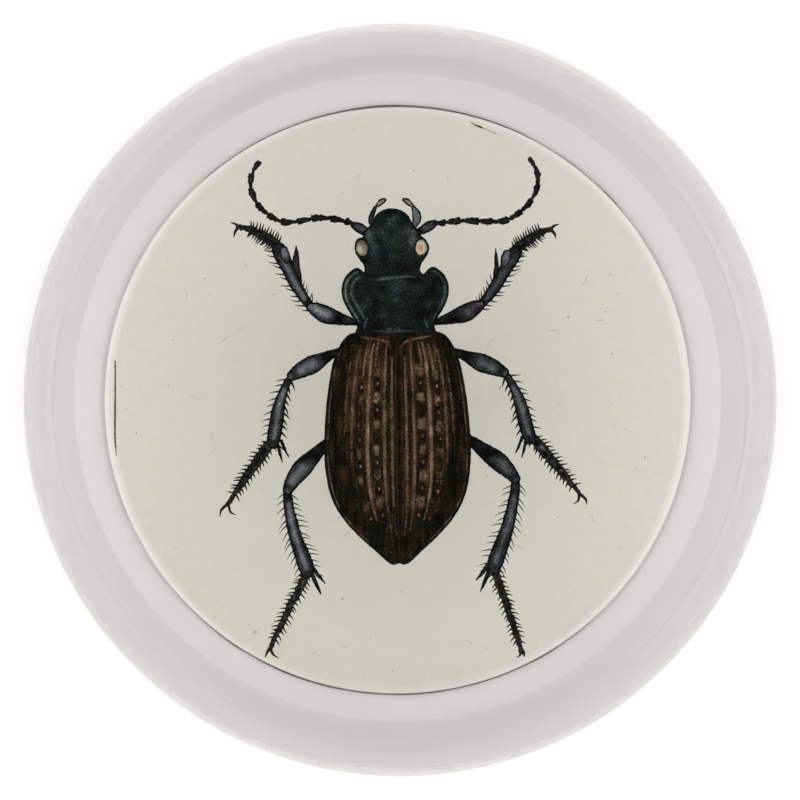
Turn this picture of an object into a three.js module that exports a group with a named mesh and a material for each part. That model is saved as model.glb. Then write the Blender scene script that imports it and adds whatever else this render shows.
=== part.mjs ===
// A round glass dome paperweight: a solid clear dome, a printed paper sheet
// glued under its flat base, and a felt pad that the weight stands on.
// Millimetres, +Z up. The origin is the centre of the pad's underside.
import * as THREE from "three";

// Driving dimensions
const DOME_DIAMETER = 89; // widest width of the glass
const CROWN_HEIGHT = 20; // from the widest line up to the top
const EDGE_HEIGHT = 7; // from the ground base up to the widest line
const BASE_DIAMETER = 69; // the flat that is ground on the underside
const SHEET_DIAMETER = 63; // the round print
const SHEET_THICKNESS = 0.3; // paper with its glue and sealing coat
const PAD_INSET = 0.1; // how far the pad stays inside the edge of the print
const PAD_THICKNESS = 0.5;
const PAD_EDGE_ROUND = 0.15; // the soft upper and lower edge of the felt

// How the rounded side leaves the ground base: it sets off at a slant, which
// leaves a crisp line round the base, and comes upright at the widest line.
const EDGE_SET_OFF = { out: 0.42, up: 0.2 };
const EDGE_COME_UPRIGHT = 0.55;

// How full the crown is: it leaves the widest line upright for this share of
// its height, and flattens over this share of its radius towards the top.
const CROWN_UPRIGHT = 0.7;
const CROWN_FLATTEN = 0.484;

// Facets
const TURNS = 96;
const CROWN_STEPS = 16;
const EDGE_STEPS = 8;
const ROUND_STEPS = 3;

// Heights that follow from the stack
const sheetZ = PAD_THICKNESS;
const baseZ = sheetZ + SHEET_THICKNESS;
const widestZ = baseZ + EDGE_HEIGHT;

const clearGlass = new THREE.MeshStandardMaterial({
  color: 0xe9edea,
  roughness: 0.04,
  metalness: 0,
  transparent: true,
  opacity: 0.35,
});
const printedPaper = new THREE.MeshStandardMaterial({
  color: 0xdcdace,
  roughness: 0.85,
  metalness: 0,
});
const darkFelt = new THREE.MeshStandardMaterial({
  color: 0x2a2b29,
  roughness: 1,
  metalness: 0,
});

// Samples each stretch of an outline with its own number of steps.
function outlinePoints(path, steps) {
  const points = path.curves.flatMap((curve, i) => {
    const stretch = curve.getPoints(steps[i]);
    return i === 0 ? stretch : stretch.slice(1);
  });
  return points.map((p) => new THREE.Vector2(Math.max(p.x, 0), p.y));
}

// Turns an outline, given as radius and height, about the Z axis.
function turned(path, steps) {
  const geometry = new THREE.LatheGeometry(outlinePoints(path, steps), TURNS);
  return geometry.rotateX(Math.PI / 2);
}

// The glass: ground base, rounded side, and a full low crown over it all.
function glassDome() {
  const widest = DOME_DIAMETER / 2;
  const flat = BASE_DIAMETER / 2;
  const side = widest - flat;
  const outline = new THREE.Path()
    .moveTo(0, baseZ)
    .lineTo(flat, baseZ)
    .bezierCurveTo(
      flat + EDGE_SET_OFF.out * side,
      baseZ + EDGE_SET_OFF.up * EDGE_HEIGHT,
      widest,
      widestZ - EDGE_COME_UPRIGHT * EDGE_HEIGHT,
      widest,
      widestZ,
    )
    .bezierCurveTo(
      widest,
      widestZ + CROWN_UPRIGHT * CROWN_HEIGHT,
      CROWN_FLATTEN * widest,
      widestZ + CROWN_HEIGHT,
      0,
      widestZ + CROWN_HEIGHT,
    );
  return turned(outline, [1, EDGE_STEPS, CROWN_STEPS]);
}

// The print: a plain round sheet. Its picture is colour alone.
function printSheet() {
  const radius = SHEET_DIAMETER / 2;
  const outline = new THREE.Path()
    .moveTo(0, sheetZ)
    .lineTo(radius, sheetZ)
    .lineTo(radius, baseZ)
    .lineTo(0, baseZ);
  return turned(outline, [1, 1, 1]);
}

// The pad: a felt disc with softened edges, a little smaller than the print.
function feltPad() {
  const radius = SHEET_DIAMETER / 2 - PAD_INSET;
  const inner = radius - PAD_EDGE_ROUND;
  const outline = new THREE.Path()
    .moveTo(0, 0)
    .lineTo(inner, 0)
    .absarc(inner, PAD_EDGE_ROUND, PAD_EDGE_ROUND, -Math.PI / 2, 0)
    .lineTo(radius, PAD_THICKNESS - PAD_EDGE_ROUND)
    .absarc(inner, PAD_THICKNESS - PAD_EDGE_ROUND, PAD_EDGE_ROUND, 0, Math.PI / 2)
    .lineTo(0, PAD_THICKNESS);
  return turned(outline, [1, ROUND_STEPS, 1, ROUND_STEPS, 1]);
}

function named(name, geometry, material) {
  const mesh = new THREE.Mesh(geometry, material);
  mesh.name = name;
  return mesh;
}

const paperweight = new THREE.Group();
paperweight.name = "glass_dome_paperweight";
paperweight.add(
  named("glass_dome", glassDome(), clearGlass),
  named("print_sheet", printSheet(), printedPaper),
  named("felt_pad", feltPad(), darkFelt),
);

export default paperweight;
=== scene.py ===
import math
import random

import bpy
import numpy as np
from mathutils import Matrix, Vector, noise
from mathutils.geometry import delaunay_2d_cdt


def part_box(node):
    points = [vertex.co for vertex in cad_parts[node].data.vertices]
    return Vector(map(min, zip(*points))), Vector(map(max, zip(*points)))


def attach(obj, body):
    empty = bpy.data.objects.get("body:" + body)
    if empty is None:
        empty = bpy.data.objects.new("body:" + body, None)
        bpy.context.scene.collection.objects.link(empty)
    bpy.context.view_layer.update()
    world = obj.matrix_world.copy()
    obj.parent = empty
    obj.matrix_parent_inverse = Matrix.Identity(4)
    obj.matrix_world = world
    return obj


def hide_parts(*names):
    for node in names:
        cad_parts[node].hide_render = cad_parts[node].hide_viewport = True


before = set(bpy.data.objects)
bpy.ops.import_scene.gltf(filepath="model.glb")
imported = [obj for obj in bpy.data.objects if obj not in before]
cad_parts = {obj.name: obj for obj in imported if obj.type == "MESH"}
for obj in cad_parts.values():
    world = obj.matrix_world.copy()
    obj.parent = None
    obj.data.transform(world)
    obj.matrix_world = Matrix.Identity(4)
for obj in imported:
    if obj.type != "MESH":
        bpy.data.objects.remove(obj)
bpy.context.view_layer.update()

MM = 0.001

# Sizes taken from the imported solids
glass_low, glass_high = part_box("glass_dome")
sheet_low, sheet_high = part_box("print_sheet")
_, pad_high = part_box("felt_pad")
GLASS_RADIUS = glass_high.x
GLASS_BASE = glass_low.z
GLASS_TOP = glass_high.z
SHEET_RADIUS = sheet_high.x / MM
PAD_RADIUS = pad_high.x
PAD_TOP = pad_high.z

# The glass: its outline and its substance
GROUND_RADIUS = 34.5 * MM
WIDEST_LINE = GLASS_BASE + 7 * MM
SIDE_SET_OFF = (0.42, 0.2)
SIDE_COME_UPRIGHT = 0.55
CROWN_UPRIGHT = 0.7
CROWN_FLATTEN = 0.484
OUTLINE_STEPS = 56
GLASS_TURNS = 192
GLASS_INDEX = 1.5
GLASS_TINT = (0.81, 0.80, 0.785, 1)
GLASS_DENSITY = 28.0

# The felt pad, cut by hand
PAD_TURNS = 160
PAD_RINGS = 5
PAD_RIM_SOFT = 0.14 * MM
PAD_RIM_FROM = 0.9  # share of the radius where the wandering rim begins
PAD_WANDER_AND_SHADE = 0.13
PAD_FULLER = 0.1
PAD_LUMP = 0.04 * MM

# Hand work: the base is ground and the print laid a little off the middle
GROUND_OFF_CENTRE = Vector((-0.2 * MM, 0.25 * MM))
PRINT_OFF_CENTRE = Vector((-0.25 * MM, -0.03 * MM))
PRINT_IN_GLUE = 0.02 * MM  # how far the print sits up in the film of glue on the glass

# The figure on the sheet, in millimetres
FIGURE_AT = (-0.1, 0.1)
FIGURE_TURN = math.radians(0.82)
FIGURE_SCALE = np.array((1.01, 1.003))
INK_LINE = 0.21  # the engraved outline
SAMPLE = 0.22  # distance between the points of a drawn line
RIM_POINTS = 240
RIM_BANDS = (0.85, 0.78, 0.72, 0.5, 0.36, 0.27, 0.2, 0.13, 0.06)  # in from the edge of the sheet
FLECKS = 90
WING_STROKES = 130  # on each wing case
CELLS = 6  # in each row of pale blocks
CELL_PITCH = 2.87
PIT_BELOW_CELL = 1.43
MAP_REACH = 0.485  # from the middle of the flat map to the edge of the picture

# Camera and picture
LENS = 85
SENSOR = 36
PICTURE_WIDTH = 800
GLASS_IN_PICTURE = 749
EXPOSURE = 0.78
FLOOR_SIZE = 6
FLOOR_COLOUR = (0.7, 0.696, 0.688, 1)


def clear_selection():
    """Leaves nothing selected, so that the next operator acts on the new piece alone."""
    if bpy.context.mode != "OBJECT":
        bpy.ops.object.mode_set(mode="OBJECT")
    bpy.ops.object.select_all(action="DESELECT")


def light_amounts(red, green, blue):
    """A colour in paint-card steps of 0 to 255, as the amounts of light it gives back."""
    steps = [value / 255 for value in (red, green, blue)]
    return [s / 12.92 if s <= 0.04045 else ((s + 0.055) / 1.055) ** 2.4 for s in steps] + [1.0]


def smoothly(low, high, value):
    """0 below low, 1 above high, and an easy rise between them."""
    share = np.clip((value - low) / (high - low), 0, 1)
    return share * share * (3 - 2 * share)


# Materials


def bare_material(name):
    """A material with its shader, and a function that adds linked nodes to it."""
    material = bpy.data.materials.new(name)
    material.use_nodes = True
    return material, material.node_tree.nodes["Principled BSDF"], node_adder(material.node_tree)


def node_adder(tree):
    """A function that adds a node with its settings, and links or sets its inputs."""

    def add(kind, inputs=None, **settings):
        node = tree.nodes.new(kind)
        for setting, value in settings.items():
            setattr(node, setting, value)
        for socket, value in (inputs or {}).items():
            if isinstance(value, bpy.types.NodeSocket):
                tree.links.new(value, node.inputs[socket])
            else:
                node.inputs[socket].default_value = value
        return node

    return add


def ramp_of(add, factor, stops):
    """A colour ramp with the given (place, colour) stops."""
    node = add("ShaderNodeValToRGB", {"Fac": factor})
    elements = node.color_ramp.elements
    elements[0].position, elements[0].color = stops[0]
    elements[1].position, elements[1].color = stops[-1]
    for place, colour in stops[1:-1]:
        elements.new(place).color = colour
    return node.outputs["Color"]


def grain_of(add, place, scale, detail, **settings):
    """Soft noise of a given fineness."""
    return add("ShaderNodeTexNoise", {"Vector": place, "Scale": scale, "Detail": detail, **settings})


def matt(shader):
    """Makes a surface matt, without any gloss."""
    shader.inputs["Roughness"].default_value = 0.9
    shader.inputs["Specular IOR Level"].default_value = 0.0


def clear_glass():
    """Polished colourless glass with a faint warm grey in its depth."""
    material, shader, add = bare_material("clear polished glass")
    shader.inputs["Base Color"].default_value = (1, 1, 1, 1)
    shader.inputs["Roughness"].default_value = 0.0
    shader.inputs["IOR"].default_value = GLASS_INDEX
    shader.inputs["Transmission Weight"].default_value = 1.0
    depth = add("ShaderNodeVolumeAbsorption", {"Color": GLASS_TINT, "Density": GLASS_DENSITY})
    tree = material.node_tree
    tree.links.new(depth.outputs["Volume"], tree.nodes["Material Output"].inputs["Volume"])
    return material


def wash(name, stops, grain=1.0, mottle=0.8, tints=None, streaks=0.0):
    """Ink or water colour on paper: a tone from dark to pale, with grain, mottling and tints."""
    material, shader, add = bare_material(name)
    place = add("ShaderNodeTexCoord").outputs["Object"]
    tone = add("ShaderNodeAttribute", attribute_name="tone").outputs["Fac"]
    layers = [
        (grain_of(add, place, 4800.0, 2.0), grain),
        (grain_of(add, place, 900.0, 3.0), mottle),
    ]
    if streaks:
        drawn_out = add("ShaderNodeMapping", {"Vector": place, "Scale": (1.0, 0.09, 1.0)}).outputs[0]
        layers.append((grain_of(add, drawn_out, 2800.0, 2.0), streaks))
    for layer, amount in layers:
        inputs = {0: layer.outputs["Fac"], 1: amount, 2: tone}
        tone = add("ShaderNodeMath", inputs, operation="MULTIPLY_ADD").outputs[0]
    level = 0.5 * sum(amount for _, amount in layers)
    tone = add("ShaderNodeMath", {0: tone, 1: level}, operation="SUBTRACT").outputs[0]
    colour = ramp_of(add, tone, [(at, light_amounts(*rgb)) for at, rgb in stops])
    if tints:
        drift = grain_of(add, place, 430.0, 2.0).outputs["Fac"]
        first, second = tints
        tint = ramp_of(add, drift, [(0.36, (*first, 1)), (0.5, (1, 1, 1, 1)), (0.64, (*second, 1))])
        inputs = {0: 1.0, 6: colour, 7: tint}
        colour = add("ShaderNodeMix", inputs, data_type="RGBA", blend_type="MULTIPLY").outputs[2]
    material.node_tree.links.new(colour, shader.inputs["Base Color"])
    matt(shader)
    return material


def dark_felt():
    """Pressed wool felt: charcoal fibres in every direction, with paler ones among them."""
    material, shader, add = bare_material("dark felt")
    place = add("ShaderNodeTexCoord").outputs["Object"]
    matted = grain_of(add, place, 900.0, 6.0, Roughness=0.7)
    strands = grain_of(add, place, 2600.0, 4.0, Distortion=3.0)
    inputs = {0: matted.outputs["Fac"], 1: strands.outputs["Fac"]}
    fibres = add("ShaderNodeMath", inputs, operation="MULTIPLY").outputs[0]
    shades = ((0.15, (26, 27, 26)), (0.3, (44, 45, 43)), (0.42, (84, 84, 80)))
    colour = ramp_of(add, fibres, [(at, light_amounts(*rgb)) for at, rgb in shades])
    bump = add("ShaderNodeBump", {"Height": fibres, "Strength": 0.6, "Distance": 0.0003})
    links = material.node_tree.links
    links.new(colour, shader.inputs["Base Color"])
    links.new(bump.outputs["Normal"], shader.inputs["Normal"])
    shader.inputs["Roughness"].default_value = 1.0
    shader.inputs["Sheen Weight"].default_value = 0.35
    shader.inputs["Sheen Roughness"].default_value = 0.6
    return material


# The glass


def glass_dome():
    """The outline from the ground base round the side and over the crown, spun about its axis."""
    clear_selection()
    bpy.ops.curve.primitive_bezier_curve_add(radius=0.01, location=(0, 0, 0))
    curve = bpy.context.object
    curve.data.resolution_u = OUTLINE_STEPS
    spline = curve.data.splines[0]
    spline.bezier_points.add(2)
    side = GLASS_RADIUS - GROUND_RADIUS
    edge = WIDEST_LINE - GLASS_BASE
    crown = GLASS_TOP - WIDEST_LINE
    set_off = (GROUND_RADIUS + SIDE_SET_OFF[0] * side, GLASS_BASE + SIDE_SET_OFF[1] * edge)
    # Each stop of the outline: its place, then its handles towards the stop before and the one after.
    stops = [
        ((0, GLASS_BASE), (0, GLASS_BASE), (GROUND_RADIUS / 3, GLASS_BASE)),
        ((GROUND_RADIUS, GLASS_BASE), (GROUND_RADIUS * 2 / 3, GLASS_BASE), set_off),
        (
            (GLASS_RADIUS, WIDEST_LINE),
            (GLASS_RADIUS, WIDEST_LINE - SIDE_COME_UPRIGHT * edge),
            (GLASS_RADIUS, WIDEST_LINE + CROWN_UPRIGHT * crown),
        ),
        ((0, GLASS_TOP), (CROWN_FLATTEN * GLASS_RADIUS, GLASS_TOP), (0, GLASS_TOP)),
    ]
    for point, (at, before, after) in zip(spline.bezier_points, stops):
        point.handle_left_type = "FREE"
        point.handle_right_type = "FREE"
        point.co = (at[0], 0, at[1])
        point.handle_left = (before[0], 0, before[1])
        point.handle_right = (after[0], 0, after[1])
    bpy.ops.object.convert(target="MESH")
    dome = bpy.context.object
    dome.name = "glass_dome_clear"
    bpy.ops.object.mode_set(mode="EDIT")
    bpy.ops.mesh.select_all(action="SELECT")
    bpy.ops.mesh.spin(steps=GLASS_TURNS, angle=2 * math.pi, center=(0, 0, 0), axis=(0, 0, 1))
    bpy.ops.mesh.select_all(action="SELECT")
    bpy.ops.mesh.remove_doubles(threshold=0.001 * MM)
    bpy.ops.mesh.normals_make_consistent(inside=False)
    bpy.ops.object.mode_set(mode="OBJECT")
    for vertex in dome.data.vertices:
        below = 1 - float(smoothly(GLASS_BASE, WIDEST_LINE, vertex.co.z))
        vertex.co.x += below * GROUND_OFF_CENTRE.x
        vertex.co.y += below * GROUND_OFF_CENTRE.y
    bpy.ops.object.shade_smooth_by_angle(angle=math.radians(8))
    dome.data.materials.append(clear_glass())
    return dome


# The felt pad


def felt_pad():
    """A disc of felt, cut by hand, so its edge wanders a little, with a softened rim. Its rim also reaches
    further out at the top and bottom of the picture, so that its dark edge shows there in place of shade.
    """
    clear_selection()
    bpy.ops.mesh.primitive_cylinder_add(
        vertices=PAD_TURNS,
        radius=PAD_RADIUS,
        depth=PAD_TOP,
        end_fill_type="NGON",
        location=(0, 0, PAD_TOP / 2),
    )
    pad = bpy.context.object
    pad.name = "felt_pad_soft"
    bpy.ops.object.transform_apply(location=True, rotation=True, scale=True)
    for polygon in pad.data.polygons:
        polygon.select = abs(polygon.normal.z) > 0.5
    bpy.ops.object.mode_set(mode="EDIT")
    for ring in range(PAD_RINGS):
        bpy.ops.mesh.inset(thickness=(0.4 + 2.2 * ring) * MM, depth=0)
    bpy.ops.object.mode_set(mode="OBJECT")
    softened = pad.modifiers.new("softened rim", "BEVEL")
    softened.width = PAD_RIM_SOFT
    softened.segments = 3
    softened.angle_limit = math.radians(50)
    bpy.ops.object.modifier_apply(modifier=softened.name)
    for vertex in pad.data.vertices:
        reach = vertex.co.xy.length
        if reach > PAD_RIM_FROM * PAD_RADIUS:
            turn = vertex.co.xy / reach
            slow = noise.noise((turn.x * 2.2, turn.y * 2.2, 0.7))
            quick = noise.noise((turn.x * 9, turn.y * 9, 3.1))
            # The rim wanders as cut, and reaches further out at the top and bottom of the picture, where
            # the dark felt stands in for shade
            wander_and_shade = slow + 0.5 * quick + 1.2 * (turn.y**2 - turn.x**2)
            vertex.co.xy += turn * (PAD_WANDER_AND_SHADE * wander_and_shade + PAD_FULLER) * MM
        lumps = 0.5 + 0.5 * noise.noise((vertex.co.x * 400, vertex.co.y * 400, 1.3))
        if vertex.co.z < PAD_TOP / 2:
            vertex.co.z = max(vertex.co.z, 0) + PAD_LUMP * lumps * (reach < PAD_RIM_FROM * PAD_RADIUS)
        vertex.co.x += PRINT_OFF_CENTRE.x
        vertex.co.y += PRINT_OFF_CENTRE.y
    bpy.ops.object.shade_smooth_by_angle(angle=math.radians(40))
    pad.data.materials.append(dark_felt())
    return pad


# Drawing: areas of ink and wash on the sheet, each laid over the ones before it

areas = []
hand = random.Random(41)
BOTH = (1, -1)


def paint(outline, colour, tone):
    """Lays one closed area. The tone is 0 where it is darkest and 1 where it is palest."""
    areas.append((np.asarray(outline, float)[:, :2], colour, tone))


def read_back(tone, back):
    """The tone of a moved area, read where the given function takes each place back to."""
    if callable(tone):
        return lambda x, y: tone(*back(x, y))
    return tone


def paint_sides(outline, colour, tone, sides=BOTH):
    """Lays an area on the beetle's right, as its mirror image on the left, or as both."""
    for side in sides:
        paint(outline * (side, 1), colour, read_back(tone, lambda x, y, side=side: (side * x, y)))


def flowing(points, closed=False):
    """A smooth line through points, which may carry a width as a third number."""
    knots = np.asarray(points, float)
    count = len(knots)
    stretches = []
    for i in range(count if closed else count - 1):
        near = knots[i]
        far = knots[(i + 1) % count]
        before = knots[i - 1] if closed or i > 0 else 2 * near - far
        after = knots[(i + 2) % count] if closed or i + 2 < count else 2 * far - near
        steps = max(2, math.ceil(np.hypot(*(far - near)[:2]) / SAMPLE))
        t = np.arange(steps)[:, None] / steps
        bend = 2 * before - 5 * near + 4 * far - after
        twist = 3 * near - before - 3 * far + after
        stretches.append(near + 0.5 * ((far - before) * t + bend * t**2 + twist * t**3))
    if not closed:
        stretches.append(knots[-1:])
    return np.vstack(stretches)


def across(line):
    """Unit directions square to an open line, to its left."""
    run = np.gradient(line[:, :2], axis=0)
    run /= np.linalg.norm(run, axis=1)[:, None]
    return np.column_stack((-run[:, 1], run[:, 0]))


def limb(points, trim=0.0, bulge=0.6):
    """The outline of a limb that swells and tapers along (x, y, width) points, with rounded ends."""
    line = flowing(points)
    half = np.maximum(line[:, 2] / 2 - trim, 0.012)
    left = across(line)
    sides = left * half[:, None]
    ends = []
    for end, way in ((-1, 1), (0, -1)):
        ahead = way * np.array((left[end][1], -left[end][0]))
        out = max(bulge * line[end, 2] / 2 - trim, -0.5 * trim)
        for turn in (45, 90, 135):
            lean = way * half[end] * math.cos(math.radians(turn))
            ends.append(line[end, :2] + left[end] * lean + ahead * out * math.sin(math.radians(turn)))
    return np.vstack((line[:, :2] + sides, ends[:3], (line[:, :2] - sides)[::-1], ends[3:]))


def pushed_out(outline, distance):
    """A closed outline moved outwards, or inwards where the distance is less than 0."""
    chord = np.roll(outline, -1, axis=0) - np.roll(outline, 1, axis=0)
    chord /= np.maximum(np.linalg.norm(chord, axis=1), 1e-9)[:, None]
    x, y = outline.T
    turn = np.sign(np.sum(x * np.roll(y, -1) - y * np.roll(x, -1)))
    away = np.column_stack((chord[:, 1], -chord[:, 0])) * turn
    return outline + away * np.asarray(distance).reshape(-1, 1)


def ragged(outline, amount=0.05, pitch=3.3):
    """Roughens an outline a little, as the graver leaves it."""
    wobble = [noise.noise((x * pitch, y * pitch, 5.0)) for x, y in outline]
    return pushed_out(outline, amount * np.array(wobble))


def oval(x, y, half_width, half_height, count=12, squareness=1.0):
    """A small oval or rounded block, a touch uneven."""
    points = []
    for i in range(count):
        turn = 2 * math.pi * i / count
        cos, sin = math.cos(turn), math.sin(turn)
        uneven = 1 + 0.2 * noise.noise((x * 3 + cos, y * 3 + sin, 2.0))
        wide = math.copysign(abs(cos) ** squareness, cos) * half_width
        high = math.copysign(abs(sin) ** squareness, sin) * half_height
        points.append((x + wide * uneven, y + high * uneven))
    return np.array(points)


def glow(path, reach, low, high):
    """A tone that is palest along a line and falls away on both sides of it."""
    line = flowing(path)[:, :2]

    def tone(x, y):
        away = np.hypot(x[:, None] - line[:, 0], y[:, None] - line[:, 1]).min(axis=1)
        return low + (high - low) * np.exp(-((away / reach) ** 2))

    return tone


def sum_of(*tones):
    """Several tones laid on one another."""
    return lambda x, y: sum(tone(x, y) for tone in tones)


def blotched(low, high, pitch, seed):
    """An uneven tone, in soft blotches."""

    def tone(x, y):
        blots = np.array([noise.noise((px * pitch, py * pitch, seed)) for px, py in zip(x, y)])
        return low + (high - low) * (0.5 + 0.9 * blots)

    return tone


def stretch(line, start, end, count):
    """Evenly spaced points between two shares of a line's length."""
    run = np.concatenate(([0], np.cumsum(np.linalg.norm(np.diff(line[:, :2], axis=0), axis=1))))
    at = np.linspace(start, end, count) * run[-1]
    return np.column_stack([np.interp(at, run, line[:, i]) for i in range(line.shape[1])])


def inked_limb(points, colour, tone, sides=BOTH, line=INK_LINE):
    """A limb: the engraved outline, with its wash inside."""
    paint_sides(ragged(limb(points), 0.07, 4.0), "line ink", 0.04, sides)
    paint_sides(ragged(limb(points, trim=line), 0.07), colour, tone, sides)


def soft_stroke(points, colour, tone, sides=BOTH):
    """A pale stroke whose edges fade into the wash under it."""
    wide = np.array(points, float)
    paint_sides(ragged(limb(wide)), colour, 0.55 * tone, sides)
    wide[:, 2] *= 0.5
    paint_sides(ragged(limb(wide)), colour, tone, sides)


def jointed(line, shares, sides):
    """A row of dark joints, as in a feeler, each thicker towards its far end."""
    for start, end in zip(shares, shares[1:]):
        joint = stretch(line, start, end, len(JOINT_SWELLING))
        joint[:, 2] *= JOINT_SWELLING
        paint_sides(ragged(limb(joint, bulge=0.25), 0.16, 4.5), "line ink", 0.12, sides)
        paint_sides(ragged(limb(stretch(joint, 0.2, 0.9, 4), trim=0.2), 0.1), "olive wash", 0.2, sides)


def bristles(points, edge_side, sides, count, length, width, lean, start, end):
    """Fine bristles along one edge of a limb, leaning towards its tip."""
    line = flowing(points)
    out = across(line) * edge_side
    edge = np.column_stack((line[:, :2] + out * line[:, 2:3] * 0.4, out))
    for share in np.linspace(start, end, count):
        x, y, out_x, out_y = stretch(edge, 0, min(1, share + hand.uniform(-0.012, 0.012)), 2)[1]
        angle = math.atan2(out_y, out_x) - edge_side * math.radians(lean + hand.uniform(-10, 10))
        run = length * hand.uniform(0.75, 1.2)
        hair = []
        for part, share_wide, bow in ((0, 1, 0), (0.5, 0.7, 0.08), (1, 0.28, 0)):
            turned = angle + edge_side * bow
            along = part * run
            hair.append((x + along * math.cos(turned), y + along * math.sin(turned), share_wide * width))

        def paler_to_the_tip(px, py, x=x, y=y, run=run):
            return 0.85 * np.hypot(px - x, py - y) / run - 0.1

        paint_sides(limb(hair), "bristle ink", paler_to_the_tip, sides)


# The beetle, right half, in millimetres from the middle of the sheet

FOOT_NOTCHES = (0.27, 0.46, 0.62, 0.76)
FEELER_JOINTS = (0.143, 0.243, 0.354, 0.442, 0.541, 0.629, 0.722, 0.822, 0.908, 1.0)
JOINT_SWELLING = np.array((0.6, 0.78, 1.0, 1.22, 1.2))

# Each leg's hair is on the left and the right as one looks from the body out along it. Where it sits
# gives small shifts of its root, knee, ankle and tip, on the beetle's right (1) and left (-1).
LEGS = [
    {
        "thigh": [
            (3.9, 8.3, 0.5), (6.0, 8.85, 1.4), (7.45, 9.3, 1.95), (8.6, 9.9, 1.6), (9.3, 10.25, 1.05),
        ],
        "shin": [
            (8.85, 9.85, 0.9), (9.85, 11.15, 1.1), (10.75, 12.7, 1.35), (11.55, 14.35, 1.4),
            (12.15, 15.75, 1.7), (12.6, 16.7, 1.5),
        ],
        "foot": [
            (12.5, 16.85, 1.1), (13.55, 17.6, 1.1), (14.5, 18.15, 1.0), (15.5, 18.65, 0.8),
            (16.3, 18.85, 0.58), (16.85, 18.9, 0.5),
        ],
        "claws": [
            [(16.7, 18.95, 0.34), (17.1, 19.25, 0.26), (17.6, 19.4, 0.08)],
            [(16.75, 18.85, 0.34), (17.1, 18.4, 0.28), (17.25, 17.8, 0.08)],
        ],
        "spurs": [
            [
                (10.4, 12.3, 0.7), (10.55, 13.6, 0.95), (10.68, 14.8, 0.84), (10.62, 15.9, 0.58),
                (10.6, 16.8, 0.1),
            ],
        ],
        "spurs at": 0.6,
        "right spurs": 0.6,
        "right light": 0.42,
        "lobe": [(11.6, 15.1, 0.7), (11.82, 15.85, 1.1), (11.98, 16.55, 0.85)],
        "left hair": (7, 0.78, 0.17, 40, 0.03, 0.42),
        "right hair": (12, 1.0, 0.2, 38, 0.03, 0.97),
        "foot hair": (12, 0.7, 0.24, 15, 0.04, 0.72),
        "foot light": {1: 0.36, -1: 0.36},
        "right claws": 1,
        "sits": {
            1: ((0, -0.08), (0.05, 0), (0.45, -0.85), (0.1, -0.72)),
            -1: ((0, 0), (0, 0), (0, 0), (0, -0.05)),
        },
    },
    {
        "thigh": [
            (5.7, 5.5, 0.5), (7.5, 4.6, 1.25), (8.95, 3.85, 2.0), (10.25, 3.2, 1.8), (11.5, 2.45, 1.1),
        ],
        "shin": [
            (11.35, 2.65, 0.75), (12.2, 1.05, 0.95), (12.8, -0.7, 1.35), (13.15, -2.5, 1.55),
            (13.45, -4.0, 1.5), (13.6, -4.85, 1.2),
        ],
        "foot": [
            (13.7, -4.35, 1.05), (14.6, -5.55, 1.15), (15.35, -6.65, 1.05), (16.15, -7.8, 0.98),
            (16.9, -8.9, 0.85), (17.55, -9.9, 0.55), (18.4, -11.15, 0.5),
        ],
        "claws": [
            [(18.3, -11.0, 0.36), (19.05, -11.7, 0.28), (19.2, -12.4, 0.08)],
            [(18.3, -11.0, 0.36), (18.1, -11.9, 0.24), (17.5, -12.3, 0.08)],
        ],
        "spurs": [
            [(12.7, -4.3, 0.4), (12.35, -5.2, 0.32), (11.9, -6.1, 0.12)],
            [(13.05, -4.8, 0.4), (12.85, -5.7, 0.32), (12.58, -6.65, 0.12)],
        ],
        "spurs at": 1,
        "right spurs": 1,
        "right light": 0.62,
        "lobe": None,
        "left hair": (9, 0.95, 0.2, 34, 0.08, 0.82),
        "right hair": (11, 0.92, 0.28, 42, 0.08, 0.98),
        "foot hair": (14, 0.68, 0.24, 32, 0.05, 0.84),
        "foot light": {1: 0.46, -1: 0.36},
        "right claws": 0.85,
        "sits": {
            1: ((0, -0.08), (0.32, 0.2), (0.82, 0.06), (1.22, 0.5)),
            -1: ((0, 0.14), (0.02, 0.14), (-0.14, 0), (0, 0)),
        },
    },
    {
        "thigh": [
            (7.3, -4.45, 0.8), (9.1, -6.2, 1.65), (10.3, -7.4, 2.1), (11.35, -8.7, 1.7),
            (12.0, -9.85, 1.1),
        ],
        "shin": [
            (11.95, -9.55, 0.95), (11.85, -11.3, 1.1), (11.55, -13.0, 1.28), (11.1, -14.9, 1.45),
            (10.5, -16.6, 1.65), (10.0, -18.1, 1.72), (9.85, -18.95, 1.15),
        ],
        "foot": [
            (10.0, -18.75, 0.9), (10.85, -20.6, 0.86), (11.5, -21.65, 0.82), (12.1, -22.85, 0.76),
            (12.7, -24.05, 0.7), (13.3, -25.25, 0.62), (13.95, -26.6, 0.55),
        ],
        "claws": [
            [(13.9, -26.4, 0.38), (14.2, -26.9, 0.28), (14.4, -27.35, 0.1)],
            [(13.9, -26.4, 0.38), (13.55, -27.1, 0.24), (13.0, -27.5, 0.08)],
        ],
        "spurs": [
            [(9.35, -18.1, 0.5), (8.7, -19.0, 0.42), (8.0, -19.8, 0.14)],
            [(9.5, -18.6, 0.5), (8.95, -19.9, 0.42), (8.45, -21.0, 0.14)],
        ],
        "spurs at": 1,
        "right spurs": 1,
        "right light": 0.52,
        "lobe": None,
        "left hair": (14, 1.15, 0.16, 42, 0.06, 0.96),
        "right hair": (14, 1.2, 0.16, 32, 0.08, 0.97),
        "foot hair": (16, 0.66, 0.22, 32, 0.04, 0.86),
        "foot light": {1: 0.4, -1: 0.5},
        "right claws": 0.6,
        "sits": {
            1: ((0, 0.42), (0.8, 0.86), (0.26, 0.06), (-0.95, -0.85)),
            -1: ((0, 0.17), (0, 0), (0, 0), (0, -0.1)),
        },
    },
]

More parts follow.
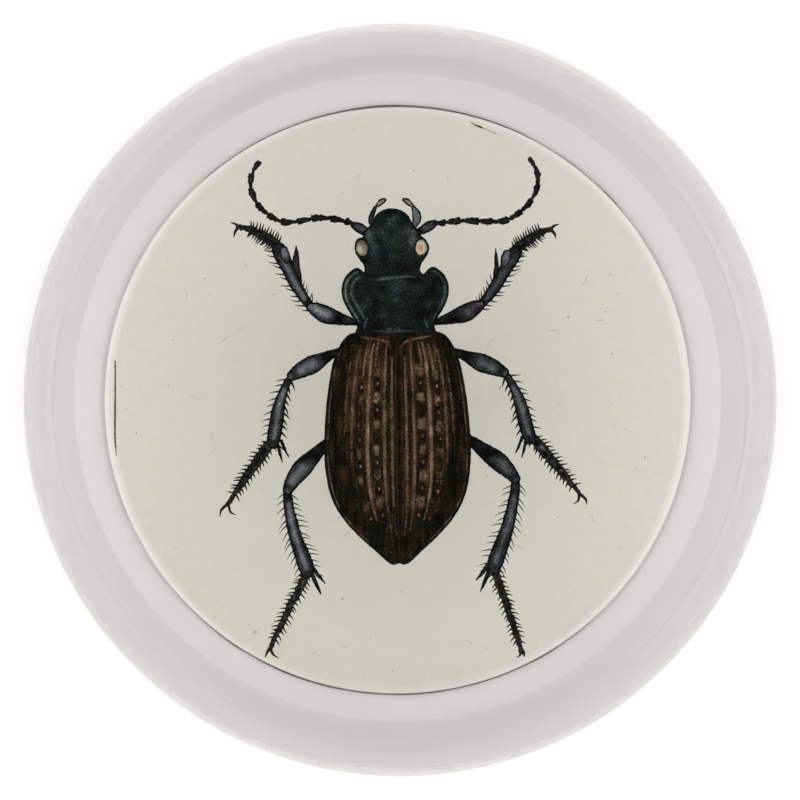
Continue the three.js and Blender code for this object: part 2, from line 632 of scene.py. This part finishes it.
FEELER = [
    (2.95, 18.45, 0.95), (4.3, 19.25, 0.64), (5.1, 19.5, 0.6), (6.85, 19.85, 0.66),
    (8.7, 19.85, 0.64), (10.25, 19.55, 0.62), (12.05, 19.45, 0.62), (13.55, 20.1, 0.6),
    (14.75, 21.3, 0.58), (15.42, 22.95, 0.56), (15.3, 24.65, 0.54), (14.45, 26.1, 0.42),
]
SCAPE = [(2.5, 18.15, 0.7), (3.3, 18.6, 1.05), (3.95, 18.98, 1.1), (4.5, 19.25, 0.65)]
# The palps, on the beetle's right and left: lower joint, upper joint, and how pale the lower one is
PALPS = {
    1: (
        [(2.1, 18.75, 0.55), (2.42, 19.4, 0.95), (2.38, 20.1, 0.95), (2.05, 20.85, 0.5)],
        [(1.98, 20.95, 0.44), (1.5, 21.4, 0.68), (1.05, 21.7, 0.46)],
        0.62,
    ),
    -1: (
        [(2.55, 19.1, 0.44), (2.52, 19.7, 0.56), (2.22, 20.42, 0.5), (2.0, 20.87, 0.46)],
        [(1.82, 21.02, 0.46), (1.38, 21.44, 0.66), (1.0, 21.7, 0.5)],
        0.2,
    ),
}
FEELER_SITS = {
    1: ((0, -0.1), (0, -0.7), (-0.04, 0.04), (0.02, -0.3)),
    -1: ((0, -0.2), (0, -0.12), (-0.15, 0), (-0.15, -0.3)),
}

# The eyes, on the beetle's right and left: place, half height, the ends of the light in it from its
# middle, and that light's reach, darkest and palest tone
EYES = (
    ((3.16, 16.45), 0.86, ((-0.1, 0.14), (-0.06, -0.06)), (0.6, 0.2, 1.08)),
    ((-3.26, 16.5), 0.78, ((-0.28, -0.06), (-0.16, -0.28)), (0.44, 0.12, 0.7)),
)

HEAD_HALF = [
    (0.0, 20.75), (0.95, 20.55), (1.75, 20.0), (2.2, 19.2), (2.6, 18.65), (3.1, 18.25),
    (3.15, 17.75), (3.6, 17.4), (4.0, 16.65), (3.95, 15.95), (3.5, 15.2), (3.15, 14.7), (3.0, 14.0),
    (3.0, 13.2),
]

SHIELD_HALF = [
    (0.0, 13.55), (1.6, 13.5), (2.8, 13.45), (3.3, 13.85), (4.0, 14.38), (4.7, 14.1), (5.45, 13.3),
    (5.8, 12.2), (5.7, 11.0), (5.15, 9.8), (4.5, 8.7), (4.2, 7.95), (4.25, 7.2), (2.4, 6.95),
    (0.0, 6.9),
]

WING_HALF = [
    (0.0, 7.3), (2.5, 7.35), (4.4, 7.35), (5.45, 6.85), (6.3, 5.6), (6.82, 4.25), (7.22, 2.4),
    (7.62, -0.3), (7.84, -2.9), (7.95, -5.2), (7.88, -7.2), (7.5, -9.7), (6.75, -11.7),
    (5.55, -13.5), (4.0, -15.15), (2.5, -16.5), (1.35, -17.6), (0.65, -17.98), (0.0, -17.85),
]


def whole(half):
    """A closed outline from its right half."""
    left = [(-x, y) for x, y in half[::-1] if x > 0]
    return ragged(flowing(list(half) + left, closed=True))


def wing_half_width(y):
    """How far the wing cases reach out at a height on the sheet."""
    side = flowing(WING_HALF[3:])
    return np.interp(-np.asarray(y, float), -side[:, 1], side[:, 0])


def shifted(points, shifts):
    """A line moved by shifts that are spaced evenly along it."""
    moved = np.array(points, float)
    along = np.linspace(0, 1, len(moved))
    at = np.linspace(0, 1, len(shifts))
    for axis in (0, 1):
        moved[:, axis] += np.interp(along, at, [shift[axis] for shift in shifts])
    return moved


def slid(first, aside):
    """Slides what was painted since the given area, where the drawing isn't quite even."""
    for i in range(first, len(areas)):
        outline, colour, tone = areas[i]
        areas[i] = (outline + (aside, 0), colour, read_back(tone, lambda x, y: (x - aside, y)))


def paint_foot(foot, light, sides):
    """A foot of five rough joints, dark olive with slate lights, and dark notches between them."""
    olive = blotched(-0.05, 0.45, 2.0, 1.0)
    slate = blotched(-0.3, light, 1.7, 6.0)
    paint_sides(ragged(limb(foot), 0.22, 5.0), "line ink", 0.25, sides)
    paint_sides(ragged(limb(foot, trim=0.22), 0.2, 5.0), "olive wash", olive, sides)
    paint_sides(ragged(limb(foot, trim=0.3), 0.2, 5.0), "slate wash", slate, sides)
    line = flowing(foot)
    spans = np.column_stack((line[:, :2], across(line) * line[:, 2:3] * 0.46))
    for share in FOOT_NOTCHES:
        x, y, dx, dy = stretch(spans, 0, share, 2)[1]
        paint_sides(limb([(x - dx, y - dy, 0.14), (x + dx, y + dy, 0.14)]), "line ink", 0.1, sides)


def paint_leg(leg, side):
    """One leg: its bristles first, then spurs, claws, foot, shin and thigh over them."""
    root, knee, ankle, tip = np.array(leg["sits"][side])
    thigh = shifted(leg["thigh"], (root, knee))
    shin = shifted(leg["shin"], (knee, ankle))
    foot = shifted(leg["foot"], (ankle, tip))
    spur_shift = knee + (ankle - knee) * leg["spurs at"]
    sides = (side,)
    bristles(shin, 1, sides, *leg["left hair"])
    bristles(shin, -1, sides, *leg["right hair"])
    for edge_side in BOTH:
        bristles(foot, edge_side, sides, *leg["foot hair"])
    for claw in np.array(leg["claws"]):
        if side > 0:
            claw[:, :2] = claw[0, :2] + (claw[:, :2] - claw[0, :2]) * leg["right claws"]
        paint_sides(ragged(limb(shifted(claw, (tip, tip))), 0.04), "line ink", 0.2, sides)
    for spur in leg["spurs"]:
        tapered = np.array(spur) * (1, 1, leg["right spurs"] if side > 0 else 1)
        inked_limb(shifted(tapered, (spur_shift, spur_shift)), "slate wash", 0.18, sides, 0.18)
    paint_foot(foot, leg["foot light"][side], sides)
    bright = 0.72 if side < 0 else leg["right light"]
    lit = glow(shin[1:-1], 0.28, 0.14, bright)
    inked_limb(shin, "slate wash", sum_of(lit, blotched(-0.12, 0.12, 1.1, 3.0)), sides)
    swell = glow([thigh[2][:2], thigh[3][:2]], 0.64, 0.04, bright - 0.06 * side)
    knee_light = glow([thigh[-1][:2], thigh[-1][:2]], 0.32, 0.0, 0.55)
    shades = sum_of(swell, knee_light, blotched(-0.14, 0.1, 0.9, 8.0))
    inked_limb(thigh, "slate wash", shades, sides)
    if leg["lobe"]:
        lobe = shifted(leg["lobe"], (ankle,)) + ((-0.3, 0.12, 0) if side > 0 else 0)
        inked_limb(lobe, "slate wash", glow([lobe[1][:2], lobe[2][:2]], 0.35, 0.3, 0.66), sides, 0.17)


def paint_feelers():
    """The two feelers of eleven joints, and the short palps at the mouth."""
    for side in BOTH:
        line = flowing(shifted(FEELER, FEELER_SITS[side]))
        jointed(line, (0.09, 0.15), (side,))
        jointed(line, FEELER_JOINTS, (side,))
        scape = shifted(SCAPE, FEELER_SITS[side][:1])
        inked_limb(scape, "slate wash", glow(scape[1:3], 0.3, 0.1, 0.5), (side,), 0.19)
    for side, (lower, upper, lower_light) in PALPS.items():
        inked_limb(lower, "slate wash", lower_light, (side,), 0.18)
        inked_limb(upper, "eye wash", 0.42, (side,), 0.2)


def dusting(count, low, high, colour, tones):
    """Small soft touches of a paler colour inside a box, as the colourist's dry brush leaves."""
    for _ in range(count):
        x, y = hand.uniform(low[0], high[0]), hand.uniform(low[1], high[1])
        size = hand.uniform(0.1, 0.28)
        touch = ragged(oval(x, y, 1.6 * size, size * hand.uniform(0.4, 0.9), 12), 0.16, 3.0)
        paint(touch, colour, glow([(x, y), (x + 0.1, y)], size, tones[0], hand.uniform(*tones)))


def paint_head():
    """The head, blue-green and black, with its pale eyes."""
    first = len(areas)
    outline = whole(HEAD_HALF)
    paint(outline, "line ink", 0.1)
    cheek = glow([(2.5, 18.2), (2.35, 17.0)], 0.55, 0.0, 0.4)
    front = glow([(-0.1, 18.3), (0.0, 16.6)], 1.5, 0.1, 0.29)
    blots = blotched(-0.14, 0.14, 0.8, 4.0)
    shades = sum_of(front, blots, lambda x, y: cheek(np.abs(x), y))
    paint(pushed_out(outline, -INK_LINE), "teal wash", shades)
    dusting(9, (-2.2, 14.6), (2.2, 20.0), "teal wash", (0.2, 0.34))
    for place, half_height, ends, light in EYES:
        eye = np.array(place)
        paint(oval(*eye, 0.86, 1.06, 20), "line ink", 0.2)
        shine = glow([eye + end for end in ends], *light)
        paint(ragged(oval(*eye, 0.63, half_height, 20), 0.05), "eye wash", shine)
    slid(first, -0.28)


def paint_shield():
    """The heart-shaped shield behind the head, with its raised pale margin."""
    outline = whole(SHIELD_HALF)
    paint(outline, "line ink", 0.1)
    crown = glow([(-0.4, 12.4), (0.4, 9.2)], 1.7, 0.08, 0.22)
    shoulder = glow([(-3.9, 12.9), (-4.3, 11.4)], 1.0, 0.0, 0.14)
    shades = sum_of(crown, shoulder, blotched(-0.14, 0.14, 0.7, 9.0))
    paint(pushed_out(outline, -INK_LINE), "teal wash", shades)
    dusting(14, (-3.6, 8.0), (3.6, 12.9), "teal wash", (0.18, 0.3))
    margin = flowing(SHIELD_HALF[4:12])
    outwards = across(margin)
    taper = np.sin(np.linspace(0.2, math.pi - 0.2, len(margin)))
    for depth, width, right_tone, left_tone in ((0.42, 0.48, 0.42, 0.6), (1.08, 0.66, 0.12, 0.52)):
        line = np.column_stack((margin - outwards * depth, width * taper))[::4]
        soft_stroke(line, "teal wash", right_tone, (1,))
        soft_stroke(line, "teal wash", left_tone, (-1,))
    front = [(-2.0, 13.0, 0.2), (-1.2, 13.15, 0.6), (-0.2, 13.2, 0.5), (1.0, 13.35, 0.3), (2.2, 13.3, 0.16)]
    soft_stroke(front, "teal wash", 0.5, (1,))
    soft_stroke([(3.05, 8.9, 0.14), (3.3, 8.3, 0.44), (3.45, 7.7, 0.14)], "slate wash", 0.36)
    base = [(-2.6, 7.5, 0.1), (-1.0, 7.4, 0.24), (0.4, 7.45, 0.3), (1.8, 7.4, 0.1)]
    soft_stroke(base, "slate wash", 0.34, (1,))
    dusting(9, (-0.9, 7.4), (0.7, 8.1), "slate wash", (0.22, 0.46))


def wing_line(share, top, bottom, width):
    """A line down a wing case at a constant share of its half width."""
    heights = np.linspace(top, bottom, 24)
    fade = np.sin(np.linspace(0.1, math.pi - 0.1, len(heights))) ** 0.35
    return np.column_stack((share * wing_half_width(heights), heights, width * fade))


def wing_ground(x, y):
    """The brown of the wing cases, which ends sooner at the sides and is dark along the seam."""
    share = np.abs(x) / np.maximum(wing_half_width(y), 0.2)
    foot = -12.6 + 16 * np.maximum(share - 0.3, 0)
    length = smoothly(foot - 2.6, foot + 2.2, y) * (1 - 0.45 * smoothly(5.4, 7.0, y))
    width = 1 - smoothly(0.5, 0.96, share)
    seam = 0.35 + 0.65 * smoothly(0.02, 0.3, share)
    return 0.08 + 0.22 * length * width * seam


def paint_cell(x, y, half_width, half_height, bright):
    """A pale rounded block in a row between two ridges, soft at its edges."""
    for spread, share in ((1.25, 0.25), (1.05, 0.6), (0.85, 0.9), (0.6, 1.0)):
        block = oval(x, y, half_width * spread, half_height * spread, 16, 0.5)
        tone = blotched(0.5 * bright * share, 1.4 * bright * share, 2.2, 7.0)
        paint(ragged(block, 0.26, 3.1), "ridge wash", tone)


def paint_pit(x, y, half_width, half_height):
    """A dark pit with a paler floor, and in every other one a small light."""
    for spread, tone in ((1.35, 0.4), (1.1, 0.18)):
        paint(ragged(oval(x, y, half_width * spread, half_height * spread), 0.1, 2.5), "pit wash", tone)
    paint(oval(x - 0.05, y + 0.05, half_width * 0.5, half_height * 0.5), "brown wash", 0.26)
    if hand.random() < 0.5:
        paint(oval(x + 0.08, y + 0.1, 0.1, 0.18, 8), "ridge wash", hand.uniform(0.25, 0.62))


def paint_wings():
    """The two wing cases: brown in the middle, green-black at the sides, with ridges and pits."""
    outline = whole(WING_HALF)
    paint(outline, "line ink", 0.1)
    ground = sum_of(wing_ground, blotched(-0.07, 0.07, 0.6, 6.0))
    paint(pushed_out(outline, -INK_LINE), "brown wash", ground)
    rim = wing_line(1.0, 5.6, -15.6, 0.17)
    rim[:, 0] -= 0.4
    paint_sides(limb(rim), "ridge wash", blotched(-0.12, 0.36, 0.7, 2.0))

    first = len(areas)
    for share, width, top in ((0.315, 1.25, 5.2), (0.55, 1.1, 4.2), (0.152, 0.3, 5.4)):
        furrow = wing_line(share, top, -12.5, width)
        paint_sides(ragged(limb(furrow)), "brown wash", lambda x, y: wing_ground(x, y) - 0.06)
    for side in BOTH:
        for _ in range(WING_STROKES):
            share = hand.uniform(0.04, 0.9)
            top = hand.uniform(-11.0, 6.4)
            stroke = wing_line(share, top, top - hand.uniform(0.9, 3.2), hand.uniform(0.08, 0.17))[::5]
            tone = wing_ground(stroke[2:3, 0], stroke[2:3, 1])[0] + hand.choice((-0.12, -0.08, 0.08, 0.13))
            paint(limb(stroke * (side, 1, 1)), "brown wash", tone)

    for share, half_width, half_height, top in ((0.315, 0.4, 0.54, 3.1), (0.55, 0.32, 0.62, 2.7)):
        for side in BOTH:
            for step in range(CELLS):
                y = top - CELL_PITCH * step
                fade = 1 - 0.05 * step
                if share > 0.5:
                    fade = 0.95 - 0.16 * step if side > 0 else 0.25 + 0.1 * step
                if step in (0, CELLS - 1):
                    fade *= 0.6
                size = hand.uniform(0.72, 1.12)
                bright = hand.uniform(0.26, 0.52) * fade
                x = side * share * wing_half_width(y)
                paint_cell(x, y, half_width * size, half_height * size, bright)
                y -= PIT_BELOW_CELL
                x = side * share * wing_half_width(y)
                paint_pit(x, y, 0.8 * half_width, 0.6)

    # Each ridge: its share of the half width, top, foot, width and how pale it is
    ridges = (
        (0.1, 4.6, -14.8, 0.38, 0.27),
        (0.205, 5.7, -14.4, 0.4, 0.34),
        (0.435, 6.1, -13.2, 0.5, 0.5),
        (0.36, 6.3, 3.6, 0.3, 0.34),
        (0.53, 6.0, 2.6, 0.32, 0.34),
        (0.655, 5.4, -7.0, 0.36, 0.26),
        (0.75, 4.4, -4.0, 0.32, 0.16),
    )
    for share, top, bottom, width, tone in ridges:
        line = wing_line(share, top, bottom, width)
        for narrow, low, high in ((1.0, 0.0, 0.6), (0.76, 0.35, 0.95), (0.48, 0.6, 1.3)):
            shades = blotched(low * tone, high * tone, 0.9, share)

            def fading(x, y, shades=shades):
                return shades(x, y) * (0.3 + 0.7 * smoothly(-14.5, -8.0, y))

            paint_sides(ragged(limb(line * (1, 1, narrow))), "ridge wash", fading)
    paint(limb([(0, 6.2, 0.5), (0, 0, 0.95), (0, -17.2, 0.4)]), "pit wash", 0.5)
    paint(limb([(0, 6.2, 0.3), (0, 0, 0.5), (0, -17.3, 0.3)]), "pit wash", 0.25)
    paint(limb([(0, 6.2, 0.1), (0, 0, 0.17), (0, -17.5, 0.12)]), "line ink", 0.0)
    slid(first, 0.22)
    arc = [(0.45, 5.6, 0.14), (1.1, 6.3, 0.26), (2.3, 6.6, 0.3), (3.8, 6.85, 0.14)]
    soft_stroke(arc, "ridge wash", 0.3, (1,))
    soft_stroke(arc, "ridge wash", 0.2, (-1,))


# Marks on the paper: two lines with their widths, and specks with their size and tone
SCRATCH = [
    (7.76, 30.02, 0.06), (8.36, 29.62, 0.13), (8.96, 29.42, 0.18), (9.46, 29.2, 0.06),
    (10.7, 28.7, 0.04),
]
SPECKS = ((-6.0, -21.6, 0.11, 0.1), (11.2, 1.4, 0.1, 0.05), (-15.4, -25.0, 0.24, 0.75))
SIDE_LINE = [(-30.4, 4.25, 0.12), (-30.42, 0.0, 0.17), (-30.42, -4.0, 0.17), (-30.26, -5.9, 0.1)]


def paint_flecks():
    """Fibres and specks in the paper, and by its edge a scratch and a thin upright line."""
    paint(ragged(limb(SCRATCH)), "bristle ink", 0.55)
    paint(ragged(limb(SIDE_LINE), 0.03), "bristle ink", 0.2)
    for x, y, size, tone in SPECKS:
        paint(oval(x, y, size, 0.8 * size, 8), "fleck ink", tone)
    for _ in range(FLECKS):
        reach = (SHEET_RADIUS - 1.5) * math.sqrt(hand.random())
        turn = hand.uniform(0, 2 * math.pi)
        x, y = reach * math.cos(turn), reach * math.sin(turn)
        if hand.random() < 0.6:
            speck = oval(x, y, hand.uniform(0.05, 0.11), hand.uniform(0.05, 0.11), 6)
            paint(speck, "fleck ink", hand.uniform(0, 0.9))
        else:
            lie = hand.uniform(0, math.pi)
            run = hand.uniform(0.2, 0.55)
            dx, dy = run * math.cos(lie), run * math.sin(lie)
            bow = hand.uniform(-0.2, 0.2)
            fibre = [(x - dx, y - dy, 0.05), (x - dy * bow, y + dx * bow, 0.1), (x + dx, y + dy, 0.05)]
            paint(limb(fibre), "fleck ink", hand.uniform(0.6, 1.0))


def turned_figure(first):
    """Sets the figure, from the given area on, at its place and slant on the sheet."""
    cos, sin = math.cos(FIGURE_TURN), math.sin(FIGURE_TURN)

    def back(x, y):
        dx = x - FIGURE_AT[0]
        dy = y - FIGURE_AT[1]
        return (cos * dx + sin * dy) / FIGURE_SCALE[0], (cos * dy - sin * dx) / FIGURE_SCALE[1]

    for i in range(first, len(areas)):
        outline, colour, tone = areas[i]
        placed = (FIGURE_SCALE * outline) @ np.array(((cos, sin), (-sin, cos))) + FIGURE_AT
        areas[i] = (placed, colour, read_back(tone, back))


def paper_tone_and_painted_light(x, y):
    """Darker in the middle and paler towards the edge, with painted light: paler at the left and right and
    a little at the right and top, and a pale band at the edge, a painted highlight strongest at the left
    and right.
    """
    inward = SHEET_RADIUS - np.hypot(x, y)
    # Painted highlight: a pale band and a paler line just inside the sheet's edge
    painted_edge_band = 0.26 * (1 - smoothly(0.74, 0.84, inward))
    line = 0.62 * np.exp(-(((inward - 0.22) / 0.16) ** 2))
    # The edge highlight is strongest at the left and right, as lit by the side lamps
    facing = 0.36 + 0.64 * (x / np.maximum(np.hypot(x, y), 1e-6)) ** 2
    right, up = x / SHEET_RADIUS, y / SHEET_RADIUS
    outward = right**2 + up**2
    middle = np.exp(-outward / 0.2)
    # Darker in the middle and paler towards the edge; paler at the left and right, and a little at the
    # right and top, as painted light from the side lamps
    uneven_and_painted_light = 0.15 + 0.19 * outward + 0.05 * right + 0.17 * (right**2 - up**2) + 0.06 * up - 0.48 * middle
    return 0.25 + 0.75 * (uneven_and_painted_light + (painted_edge_band + line) * facing)


def inside(x, y, outline):
    """Which of the points lie inside a closed outline."""
    x1, y1 = outline.T
    x2, y2 = np.roll(outline, -1, axis=0).T
    rise = np.where(y2 == y1, 1e-12, y2 - y1)
    crosses = (y1 > y[:, None]) != (y2 > y[:, None])
    beyond = x[:, None] < x1 + (x2 - x1) * (y[:, None] - y1) / rise
    return np.count_nonzero(crosses & beyond, axis=1) % 2 == 1


def filling(outline, pitch):
    """Points inside an outline for its tone to run between."""
    low, high = outline.min(axis=0), outline.max(axis=0)
    x, y = np.meshgrid(np.arange(low[0], high[0], pitch), np.arange(low[1], high[1], pitch))
    x[1::2] += pitch / 2
    x, y = x.ravel(), y.ravel()
    kept = inside(x, y, outline)
    return np.column_stack((x[kept], y[kept]))


# Each ink or wash: its stops from the darkest tone to the palest, as paint-card colours, and its texture
WASHES = {
    "cream paper": dict(
        stops=[
            (0.0, (205, 205, 194)),
            (0.25, (216, 216, 206)),
            (0.475, (225, 225, 216)),
            (1.0, (251, 251, 247)),
        ],
        grain=0.3,
        mottle=0.15,
    ),
    "line ink": dict(stops=[(0.0, (6, 6, 4)), (1.0, (64, 62, 46))]),
    "bristle ink": dict(
        stops=[(0.0, (14, 13, 5)), (0.5, (50, 48, 20)), (1.0, (128, 122, 74))],
        grain=0.6,
        mottle=0.3,
    ),
    "fleck ink": dict(stops=[(0.0, (96, 92, 62)), (1.0, (210, 205, 180))], grain=0.2, mottle=0.2),
    "olive wash": dict(stops=[(0.0, (10, 11, 7)), (0.5, (50, 53, 41)), (1.0, (104, 106, 90))]),
    "slate wash": dict(
        stops=[(0.0, (7, 8, 6)), (0.35, (54, 59, 60)), (0.7, (110, 114, 119)), (1.0, (172, 173, 182))],
        grain=0.8,
        mottle=0.4,
        tints=((0.94, 1.03, 0.94), (1.0, 0.98, 1.05)),
    ),
    "teal wash": dict(
        stops=[(0.0, (9, 13, 9)), (0.3, (32, 43, 40)), (0.6, (76, 86, 82)), (1.0, (136, 144, 138))],
        mottle=0.5,
        tints=((0.9, 1.02, 0.8), (0.93, 0.98, 1.16)),
    ),
    "brown wash": dict(
        stops=[
            (0.0, (8, 9, 4)),
            (0.12, (21, 22, 12)),
            (0.22, (34, 29, 16)),
            (0.32, (58, 40, 23)),
            (0.6, (98, 70, 48)),
            (1.0, (150, 122, 98)),
        ],
        grain=0.8,
        mottle=0.3,
        tints=((0.86, 1.07, 0.74), (1.12, 0.93, 1.02)),
        streaks=0.8,
    ),
    "pit wash": dict(stops=[(0.0, (8, 6, 3)), (0.5, (42, 31, 21)), (1.0, (80, 57, 44))]),
    "ridge wash": dict(
        stops=[(0.0, (28, 21, 11)), (0.5, (122, 101, 84)), (1.0, (206, 194, 178))],
        mottle=0.5,
        tints=((0.98, 1.01, 0.92), (1.02, 0.97, 1.04)),
    ),
    "eye wash": dict(
        stops=[
            (0.0, (70, 68, 60)),
            (0.45, (150, 146, 128)),
            (0.75, (206, 200, 182)),
            (1.0, (202, 150, 110)),
        ],
        grain=0.5,
        mottle=0.4,
    ),
}


def draw_picture(rim):
    """Lays the paper, its flecks and the beetle, from the bottom up."""
    paint(rim, "cream paper", paper_tone_and_painted_light)
    for inward in RIM_BANDS:
        paint(rim * (1 - inward / SHEET_RADIUS), "cream paper", paper_tone_and_painted_light)
    paint_flecks()
    first = len(areas)
    for leg in LEGS:
        for side in BOTH:
            paint_leg(leg, side)
    paint_feelers()
    paint_head()
    paint_wings()
    paint_shield()
    turned_figure(first)


def divided(rim):
    """The sheet's upper face cut along every outline: its points, and its triangles, which face up."""
    points = filling(rim * 0.94, 2.0).tolist()
    edges = []
    for outline, colour, tone in areas:
        start = len(points)
        count = len(outline)
        points.extend(outline.tolist())
        edges.extend((start + i, start + (i + 1) % count) for i in range(count))
        if callable(tone) and colour not in ("cream paper", "bristle ink"):
            points.extend(filling(pushed_out(outline, -0.08), 0.3).tolist())
    flat, _, triangles, *_ = delaunay_2d_cdt([Vector(p) for p in points], edges, [], 0, 1e-5, False)
    flat = np.array([tuple(v) for v in flat])
    triangles = np.array(triangles)
    a, b, c = (flat[triangles[:, i]] for i in range(3))
    facing = (b[:, 0] - a[:, 0]) * (c[:, 1] - a[:, 1]) - (b[:, 1] - a[:, 1]) * (c[:, 0] - a[:, 0])
    triangles[facing < 0] = triangles[facing < 0][:, ::-1]
    return flat, triangles[np.abs(facing) > 1e-9]


def uppermost(middle):
    """The area that lies on top at each of the given places."""
    top_area = np.zeros(len(middle), int)
    for i, (outline, _, _) in enumerate(areas):
        low, high = outline.min(axis=0), outline.max(axis=0)
        near = np.nonzero(((middle >= low) & (middle <= high)).all(axis=1))[0]
        if len(near):
            top_area[near[inside(middle[near, 0], middle[near, 1], outline)]] = i
    return top_area


def tones_at(corners, top_area):
    """The tone at each corner of every triangle."""
    tones = np.zeros(corners.shape[:2])
    for i in np.unique(top_area):
        tone = areas[i][2]
        mine = top_area == i
        places = corners[mine].reshape(-1, 2)
        tones[mine] = tone(places[:, 0], places[:, 1]).reshape(-1, 3) if callable(tone) else tone
    return tones


def print_sheet():
    """The paper: one thin sheet whose upper face is divided into the painted areas."""
    turns = np.linspace(0, 2 * math.pi, RIM_POINTS, endpoint=False)
    rim = SHEET_RADIUS * np.column_stack((np.cos(turns), np.sin(turns)))
    draw_picture(rim)
    flat, triangles = divided(rim)
    corners = flat[triangles]
    top_area = uppermost(corners.mean(axis=1))
    tones = tones_at(corners, top_area)

    # The upper face, the cut edge, and the back
    sheet_top = GLASS_BASE + PRINT_IN_GLUE
    ring = [i for i in range(len(flat)) if np.hypot(*flat[i]) > SHEET_RADIUS - 1e-4]
    ring.sort(key=lambda i: math.atan2(flat[i][1], flat[i][0]))
    count = len(flat)
    vertices = [(x * MM, y * MM, sheet_top) for x, y in flat]
    vertices += [(flat[i][0] * MM, flat[i][1] * MM, sheet_low.z) for i in ring]
    faces = triangles.tolist()
    for i in range(len(ring)):
        j = (i + 1) % len(ring)
        faces.append([ring[i], count + i, count + j, ring[j]])
    faces.append([count + i for i in reversed(range(len(ring)))])
    vertices = [(x + PRINT_OFF_CENTRE.x, y + PRINT_OFF_CENTRE.y, z) for x, y, z in vertices]

    mesh = bpy.data.meshes.new("print_sheet_beetle")
    mesh.from_pydata(vertices, [], faces)
    names = list(WASHES)
    for name in names:
        mesh.materials.append(wash(name, **WASHES[name]))
    drawn = [names.index(areas[i][1]) for i in top_area]
    mesh.polygons.foreach_set("material_index", drawn + [0] * (len(faces) - len(drawn)))
    attribute = mesh.attributes.new("tone", "FLOAT", "CORNER")
    values = np.zeros(len(mesh.loops))
    values[: tones.size] = tones.ravel()
    attribute.data.foreach_set("value", values)
    lay_out_map(mesh, len(drawn))
    mesh.validate()
    sheet = bpy.data.objects.new("print_sheet_beetle", mesh)
    bpy.context.scene.collection.objects.link(sheet)
    return sheet


def lay_out_map(mesh, drawn):
    """A flat map: the picture fills it, and the plain back and edge sit small in a corner."""
    layer = mesh.uv_layers.new(name="OFBake")
    scale = MAP_REACH / (SHEET_RADIUS * MM)
    for polygon in mesh.polygons:
        for loop in polygon.loop_indices:
            x, y, z = mesh.vertices[mesh.loops[loop].vertex_index].co
            x = (x - PRINT_OFF_CENTRE.x) * scale
            y = (y - PRINT_OFF_CENTRE.y) * scale
            if polygon.index < drawn:
                layer.data[loop].uv = (0.5 + x, 0.5 + y)
            elif len(polygon.vertices) == 4:
                level = 0.02 if z > sheet_low.z + 0.1 * MM else 0.01
                layer.data[loop].uv = (0.93 + 0.12 * x, level + 0.06 * (y > 0))
            else:
                layer.data[loop].uv = (0.06 + 0.1 * x, 0.06 + 0.1 * y)


# Building the weight

dome = glass_dome()
pad = felt_pad()
sheet = print_sheet()
for piece, node, finish in (
    (dome, "glass_dome", "clear_glass"),
    (sheet, "print_sheet", "printed_paper"),
    (pad, "felt_pad", "dark_felt"),
):
    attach(piece, "root")
    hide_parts(node)

# Floor, light and camera


def pale_floor():
    """A wide pale sheet under the weight."""
    clear_selection()
    bpy.ops.mesh.primitive_plane_add(size=FLOOR_SIZE, location=(0, 0, 0))
    floor = bpy.context.object
    floor.name = "floor"
    material, shader, _ = bare_material("pale floor")
    shader.inputs["Base Color"].default_value = FLOOR_COLOUR
    matt(shader)
    floor.data.materials.append(material)


# How much more light comes from the left and the right, low down and with height, and from the front
SIDE_LAMPS_LOW = 0.3
SIDE_LAMPS_HIGH = 1.2
FRONT_LAMP = 0.2


def grey(level):
    """An even grey of the given strength."""
    return (level, level, level, 1)


def soft_sky():
    """Soft light, strongest overhead, left and right, in a room of pale walls and a dim ceiling."""
    world = bpy.data.worlds.new("soft studio light")
    bpy.context.scene.world = world
    world.use_nodes = True
    world.cycles.sampling_method = "NONE"
    tree = world.node_tree
    add = node_adder(tree)

    def calculated(operation, *inputs):
        """One step of arithmetic between sockets or numbers."""
        return add("ShaderNodeMath", dict(enumerate(inputs)), operation=operation).outputs[0]

    place = add("ShaderNodeTexCoord").outputs["Generated"]
    right, ahead, height = add("ShaderNodeSeparateXYZ", {0: place}).outputs
    lamps = ((0.0, 0.3), (0.3, 0.6), (0.6, 1.0), (1.0, 1.6))
    room = ((0.0, 0.9), (0.35, 0.55), (0.7, 0.1), (1.0, 0.02))
    light = ramp_of(add, height, [(at, grey(level)) for at, level in lamps])
    mirror = ramp_of(add, height, [(at, grey(level)) for at, level in room])
    path = add("ShaderNodeLightPath").outputs
    mirrored = calculated("MULTIPLY", path["Is Glossy Ray"], path["Is Reflection Ray"])
    seen = add("ShaderNodeMix", {0: mirrored, 6: light, 7: mirror}, data_type="RGBA").outputs[2]
    aside = calculated("SUBTRACT", calculated("POWER", right, 2.0), calculated("POWER", ahead, 2.0))
    share = calculated("MULTIPLY_ADD", height, SIDE_LAMPS_HIGH, SIDE_LAMPS_LOW)
    front = calculated("MULTIPLY_ADD", ahead, -FRONT_LAMP, 1.0)
    strength = calculated("MULTIPLY_ADD", aside, share, front)
    background = tree.nodes["Background"]
    tree.links.new(seen, background.inputs["Color"])
    tree.links.new(strength, background.inputs["Strength"])


def camera_above():
    """Looks straight down, with the glass as wide in the frame as in the photograph."""
    data = bpy.data.cameras.new("camera")
    data.lens = LENS
    data.sensor_width = SENSOR
    camera = bpy.data.objects.new("camera", data)
    bpy.context.scene.collection.objects.link(camera)
    frame_width = 2 * GLASS_RADIUS * PICTURE_WIDTH / GLASS_IN_PICTURE
    camera.location = (0, 0, WIDEST_LINE + frame_width * data.lens / data.sensor_width)
    bpy.context.scene.camera = camera


pale_floor()
soft_sky()
camera_above()
bpy.context.scene.view_settings.view_transform = "Standard"
bpy.context.scene.view_settings.exposure = EXPOSURE
